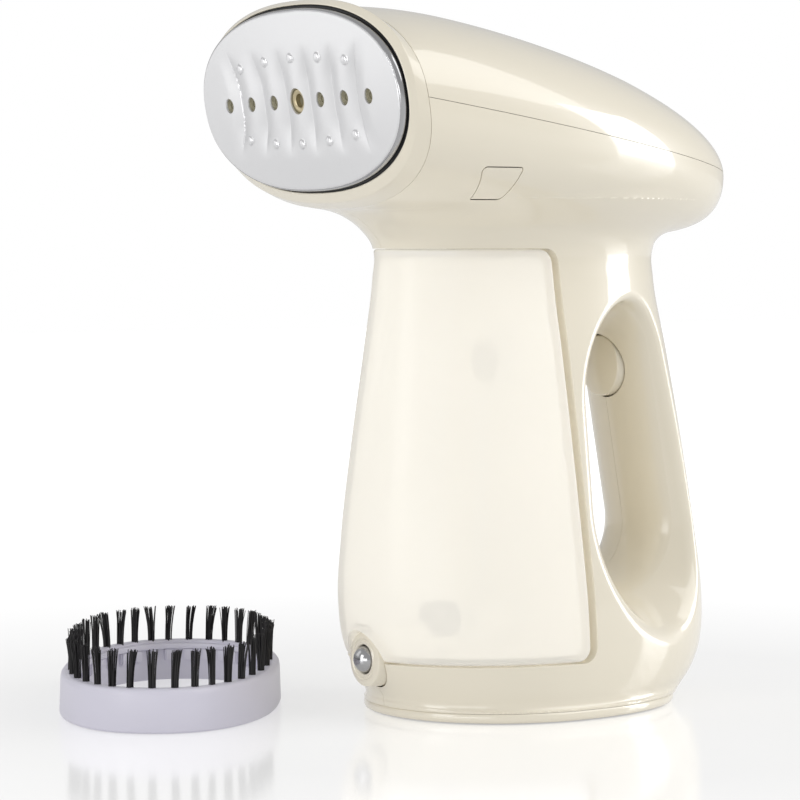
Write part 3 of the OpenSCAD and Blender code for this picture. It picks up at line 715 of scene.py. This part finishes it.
plate = mesh_object("plate", *net(plate_form, (-60, -30.5, -2.6), (60, 30.5, 1.6), 0.42))
for x, r in HOLES:
    cutter = outward(lathe([(0, -4), (r, -4), (r, -0.35), (r + 0.35, 0.3), (r + 0.9, 3), (0, 3)], "hole", 64))
    cutter.data.transform(Matrix.Translation((x * MM, 0, 0)) @ Matrix.Rotation(math.pi / 2, 4, "X"))
    carve(plate, cutter)
finish_normals(plate, plate_form, 30, 0.3)
plate.data.transform(Matrix.Translation((0, -PLATE_Y * MM, PLATE_Z * MM))
                     @ Matrix.Rotation(math.pi / 2 + LEAN, 4, "X"))
piece(plate, "steam_plate_face", "steamer", "plate_metal", "steam_plate")


def section_round(section):
    """Rings round the plate through the points of a section: half width and height out of the face."""
    shorter = (PLATE_W - PLATE_H) / 2
    return [plate_ring(r, r - shorter, r - shorter, PLATE_POWER, out) for r, out in section]


rim = [(58.0, -0.42), (58.22, -0.40), (58.38, -0.52), (58.62, -0.95), (58.78, -1.5), (58.8, -2.1),
       (58.68, -2.6), (58.45, -3.0), (57.6, -3.2), (57.0, -3.2), (57.0, -2.1)]
# The rim takes the darker chrome, as a painted dark reflection
piece(outward(loft(section_round(rim), "rim", closed=True), 50), "steam_plate_rim", "steamer", "plate_metal",
      look="chrome_painted_dark_reflection")
seal = [(57.2, -3.3), (58.5, -3.1), (58.9, -3.25), (59.2, -3.3), (59.44, -3.15), (59.44, -5.4), (57.2, -5.4)]
piece(outward(loft(section_round(seal), "seal", closed=True), 50), "plate_gasket_band", "steamer",
      "black_rubber", "plate_gasket")


def on_plate(ob, x=0.0):
    """Stands a lathed piece, whose front looks along -Y, on the plate."""
    ob.data.transform(Matrix.Translation(Vector(plate_point(x, 0, 0)) * MM) @ Matrix.Rotation(LEAN, 4, "X"))
    return ob


nozzle = lathe([(2.2, 4.8), (2.2, 1.3), (2.5, 1.0), (3.3, 0.9), (3.75, 1.05), (3.98, 1.4), (3.98, 4.8)],
               "nozzle", 64, closed=True)
piece(outward(on_plate(nozzle)), "centre_nozzle_ring", "steamer", "brass", "centre_nozzle")
bm = bmesh.new()
for x, r in HOLES:
    depth = 1.5 if r < 3 else 3.2
    cup = on_plate(lathe([(0, depth), (r * 0.45, depth), (r * 0.5, depth - 0.3), (r * 0.8, depth - 0.35),
                          (r * 0.97, 0.75), (r * 0.99, 0.75), (r * 0.99, depth + 1.2), (0, depth + 1.2)],
                         "cup", 48), x)
    bm.from_mesh(cup.data)
    drop(cup)
cups = mesh_object("cups", [], [])
bm.to_mesh(cups.data)
bm.free()
piece(outward(cups), "steam_hole_linings", "steamer", "plate_metal", look="hole_lining")

# ---------------------------------------------------------------- tank and what it carries

tank = mesh_object("tank", *net(tank_form, (-47, -65, 17), (47, 2.5, 153), FINE))
hollow = mesh_object("hollow", *net(tank_cavity, (-46, -64, 18), (46, 1, 152), 1.3))
carve(tank, hollow)
for r, y0, y1, z in ((9.65, -80, -38.8, RELEASE_Z), (5.0, -16, 14, VALVE_Z), (7.0, -12, 18, PLUG_Z)):
    carve(tank, drum(r, y0, y1, z))
finish_normals(tank, tank_form)
piece(tank, "water_tank", "tank", "tank_plastic", "tank_shell")

plug = lathe([(0, -3.4), (3.4, -3.4), (3.8, -4.4), (5.2, -4.4), (5.4, -3.6), (6.8, -3.6), (6.95, -3.2),
              (6.95, 3.9), (6.5, 4.3), (4.6, 4.35), (4.3, 3.5), (1.2, 3.5), (1.0, 4.3), (0, 4.3)],
             "plug", 72, (0, -8, PLUG_Z))
# The fill plug takes the same painted shade, for its shade seen through the tank
piece(outward(plug), "fill_plug_cap", "tank", "white_plastic", "fill_plug", look="tank_insert_painted_shade")

pad = lathe([(4.75, -56.4), (4.75, -57.9), (5.0, -58.25), (5.9, -58.35), (6.2, -58.1), (6.5, -58.1),
             (6.8, -58.35), (8.0, -58.2), (8.7, -57.85), (9.0, -57.2), (9.0, -50.0), (7.0, -49.8),
             (7.0, -44.8), (2.0, -44.8), (2.0, -50.0), (4.75, -50.0)],
            "pad", 96, (0, 0, RELEASE_Z), closed=True)
piece(outward(pad, 30), "release_pad_disc", "tank", "cream_plastic", "release_pad")
dome = [(4.45 * math.sin(math.radians(a)), -57.1 - 4.3 * math.cos(math.radians(a))) for a in range(0, 91, 6)]
knob = lathe(dome + [(4.45, -53.4), (4.2, -53.1), (1.7, -53.0), (1.7, -43.6), (0, -43.6)],
             "knob", 72, (0, 0, RELEASE_Z))
# The release knob takes the darker chrome, as a painted dark reflection
piece(outward(knob), "release_button_dome", "release", "chrome", "release_button", look="chrome_painted_dark_reflection")

# ---------------------------------------------------------------- trigger

DOME_R, DOME_CENTRE_Y = 26, 60.6
dome = [(r, DOME_CENTRE_Y - math.sqrt(DOME_R**2 - r * r)) for r in np.linspace(0, 9.5, 14)]
dome += arc(9.45, dome[-1][1] + 0.82, 0.8, -75, 0, 5)
key = lathe(dome + [(10.25, 46.5), (9.2, 46.6), (0, 46.6)], "key", 96, (0, 0, TRIGGER_Z))
bm = bmesh.new()
bm.from_mesh(outward(key).data)
for lo, hi in (((-4, 46.5, 99), (4, 48.2, 125)), ((-2, 46.5, 124.9), (2, 48.2, 132.9))):
    bar = block(lo, hi)
    part = bmesh.new()
    part.from_mesh(bar.data)
    bmesh.ops.bevel(part, geom=part.edges[:], offset=0.4 * MM, segments=2, affect="EDGES")
    part.to_mesh(bar.data)
    part.free()
    bm.from_mesh(bar.data)
    drop(bar)
bm.to_mesh(key.data)
bm.free()
piece(outward(key, 30), "trigger_button_cap", "trigger", "cream_plastic", "trigger_button")

# ---------------------------------------------------------------- foot and gland


def foot_ring(inset, z):
    outline = super_ring(FOOT_HALF - inset, FOOT_REAR - inset, FOOT_FRONT - inset, FOOT_POWER, 256)
    return [(x, y, z) for x, y in outline]


section = [(3.0, 0.8), (2.6, 0.8), (2.4, 0.3), (2.1, 0.12), (0.9, 0.12), (0.35, 0.4), (0.08, 0.9), (0.0, 1.5),
           (0.0, 2.2), (0.1, 2.8), (0.4, 3.1), (1.1, 3.15), (3.0, 3.15), (6.5, 3.15), (6.5, 5.7), (8.5, 5.7),
           (8.5, 3.15)]
rings = [foot_ring(i, z) for i, z in section]
piece(outward(loft(rings, "foot")), "base_foot_flange", "steamer", "cream_plastic", "base_foot")
gland = lathe([(3.6, 0.0), (3.6, 11.6), (3.9, 12.1), (5.2, 12.2), (5.9, 11.6), (6.3, 10.4), (6.3, 9.6),
               (6.8, 9.4), (6.8, 0.0), (8.5, 0.0), (8.5, -2.0), (3.6, -2.0)],
              "gland", 72, (0, 62, GLAND_Z), closed=True)
piece(outward(gland, 30), "cord_gland_sleeve", "steamer", "cream_plastic", "cord_gland")

# ---------------------------------------------------------------- brush attachment

random.seed(7)
BRUSH = Matrix.Translation((-0.061, -0.095, 0)) @ Matrix.Rotation(math.radians(-35), 4, "Z")
BRUSH_W, BRUSH_D, ROUND, TUFT_Z = 64.5, 36, 34, 13.0  # half width, half depth, tufts in the ring, their foot


def brush_ring(inset, n=240):
    return super_ring(BRUSH_W - inset, BRUSH_D - inset, BRUSH_D - inset, PLATE_POWER, n)


section = [(0.9, 0.0), (0.3, 0.25), (0.0, 0.9), (0.35, 11.6), (0.6, 12.9), (1.2, 13.7), (2.1, 14.0),
           (4.6, 14.0), (5.0, 13.8), (5.2, 13.4), (5.2, 12.9), (6.4, 12.8), (6.6, 12.5), (6.6, 11.2),
           (6.4, 11.0), (5.0, 10.8), (5.0, 0.5), (4.6, 0.0)]
ring = loft([[(x, y, z) for x, y in brush_ring(i)] for i, z in section], "ring", closed=True)
ring.data.transform(BRUSH)
piece(outward(ring, 50), "brush_frame_ring", "brush", "lavender_plastic", "brush_frame")
bm = bmesh.new()
for x, y in brush_ring(5.2, ROUND):
    part = bmesh.new()
    bmesh.ops.create_cube(part, size=1)
    bmesh.ops.transform(part, verts=part.verts, matrix=Matrix.Translation((x * MM, y * MM, 9 * MM))
                        @ Matrix.Rotation(math.atan2(y * 3.4, x), 4, "Z")
                        @ Matrix.Diagonal((2.6 * MM, 3.4 * MM, 4.4 * MM, 1)))
    bmesh.ops.bevel(part, geom=part.edges[:], offset=0.45 * MM, segments=2, affect="EDGES")
    tmp = bpy.data.meshes.new("tmp")
    part.to_mesh(tmp)
    part.free()
    bm.from_mesh(tmp)
    bpy.data.meshes.remove(tmp)
lugs = mesh_object("lugs", [], [])
bm.to_mesh(lugs.data)
bm.free()
lugs.data.transform(BRUSH)
piece(outward(lugs, 40), "brush_frame_lugs", "brush", "lavender_plastic", "brush_lugs")

verts, faces = [], []


def strand(base, lean, length, r, sides=5, parts=4):
    """One bristle that bends a little more towards its tip."""
    start = len(verts)
    for k in range(parts + 1):
        t = k / parts
        cx, cy = base[0] + lean[0] * t * t, base[1] + lean[1] * t * t
        rr = r * (1 - 0.25 * t)
        for s in range(sides):
            a = 2 * math.pi * s / sides
            verts.append((cx + rr * math.cos(a), cy + rr * math.sin(a), base[2] + length * t))
    for k in range(parts):
        for s in range(sides):
            a, b = start + k * sides + s, start + k * sides + (s + 1) % sides
            faces.append((a, b, b + sides, a + sides))
    faces.append(tuple(start + parts * sides + s for s in range(sides)))


for x, y in brush_ring(3.9, ROUND):
    tuft_lean = (random.gauss(0, 0.5), random.gauss(0, 0.5))
    for _ in range(34):
        a, rad = random.uniform(0, 2 * math.pi), 1.15 * math.sqrt(random.random())
        dx, dy = rad * math.cos(a), rad * math.sin(a)
        wild = 1.3 if random.random() < 0.06 else 0.35
        lean = (tuft_lean[0] + dx * 0.45 + random.gauss(0, wild * 0.5),
                tuft_lean[1] + dy * 0.45 + random.gauss(0, wild * 0.5))
        strand((x + dx, y + dy, TUFT_Z), lean, 12.6 + random.uniform(-0.7, 0.5), 0.17)
tufts = mesh_object("tufts", verts, faces)
tufts.data.transform(BRUSH)
piece(outward(tufts, 60), "brush_bristles", "brush", "bristle", "bristle_tufts")

# ---------------------------------------------------------------- floor, light and camera

bpy.ops.mesh.primitive_plane_add(size=8, location=(0, 0, -0.0002))
floor = bpy.context.object
floor.name = "floor"
# The floor glows a little, more where it is far off, so that it meets the white background without an edge
ground = material("floor_white", (0.5, 0.5, 0.5), 0.12, vary=0.003, bump=0.0)
gt = ground.node_tree
ray, fade = gt.nodes.new("ShaderNodeLightPath"), gt.nodes.new("ShaderNodeMapRange")
spot, away = gt.nodes.new("ShaderNodeTexCoord"), gt.nodes.new("ShaderNodeVectorMath")
away.operation = "LENGTH"
for key, value in (("From Min", 0.15), ("From Max", 0.8), ("To Min", 0.4), ("To Max", 0.8)):
    fade.inputs[key].default_value = value
glow = gt.nodes.new("ShaderNodeMapRange")
glow.inputs["To Min"].default_value = 0.34
gt.nodes["Principled BSDF"].inputs["Emission Color"].default_value = (1, 1, 1, 1)
gt.links.new(spot.outputs["Object"], away.inputs[0])
gt.links.new(away.outputs["Value"], fade.inputs["Value"])
gt.links.new(ray.outputs["Is Camera Ray"], glow.inputs["Value"])
gt.links.new(fade.outputs["Result"], glow.inputs["To Max"])
gt.links.new(glow.outputs["Result"], gt.nodes["Principled BSDF"].inputs["Emission Strength"])
floor.data.materials.append(ground)

world = bpy.data.worlds.new("studio")
bpy.context.scene.world = world
world.use_nodes = True
wt = world.node_tree
soft = wt.nodes["Background"]
soft.inputs["Color"].default_value = (1, 1, 1, 1)
soft.inputs["Strength"].default_value = 0.56
seen = wt.nodes.new("ShaderNodeBackground")
seen.inputs["Strength"].default_value = 1.0
seen.inputs["Color"].default_value = (1, 1, 1, 1)
path = wt.nodes.new("ShaderNodeLightPath")
pick = wt.nodes.new("ShaderNodeMixShader")
wt.links.new(path.outputs["Is Camera Ray"], pick.inputs[0])
wt.links.new(soft.outputs[0], pick.inputs[1])
wt.links.new(seen.outputs[0], pick.inputs[2])
wt.links.new(pick.outputs[0], wt.nodes["World Output"].inputs["Surface"])


def softbox(name, at, towards, size, power):
    """A rectangular lamp that lights the object and isn't seen itself."""
    data = bpy.data.lights.new(name, "AREA")
    data.shape, data.size, data.size_y = "RECTANGLE", size[0], size[1]
    data.energy = power
    ob = bpy.data.objects.new(name, data)
    bpy.context.scene.collection.objects.link(ob)
    ob.location = at
    ob.rotation_euler = (Vector(towards) - Vector(at)).to_track_quat("-Z", "Y").to_euler()
    ob.visible_camera = False


softbox("key", (0.85, 0.78, 1.17), (0, 0, 0.2), (1.3, 1.15), 8.2)
softbox("front", (0.25, -1.35, 0.45), (0, 0, 0.12), (0.5, 0.9), 4.2)
softbox("low", (0.75, -0.95, 0.06), (0, 0, 0.1), (0.7, 0.3), 1.6)
softbox("strip", (0.5, 1.25, 0.3), (0, 0, 0.12), (0.4, 0.9), 6.5)
softbox("card", (-0.251, -0.338, 0.285), (0, -0.083, 0.21), (0.24, 0.3), 0.14)

# The camera looks past the object's middle by a small slope to the side and down
AZIMUTH, FAR, ASIDE, DOWN = math.radians(54.5), 1.029, 0.03582, 0.04969
camera = bpy.data.objects.new("camera", bpy.data.cameras.new("camera"))
bpy.context.scene.collection.objects.link(camera)
camera.data.lens, camera.data.sensor_width = 139.5, 36
camera.data.clip_end = 20
camera.location = (math.sin(AZIMUTH) * FAR, -math.cos(AZIMUTH) * FAR, 0.1524)
turn = AZIMUTH + math.atan(ASIDE)
camera.rotation_euler = (math.pi / 2 - math.atan(DOWN), 0, turn)
bpy.context.scene.camera = camera
bpy.context.scene.view_settings.view_transform = "Standard"
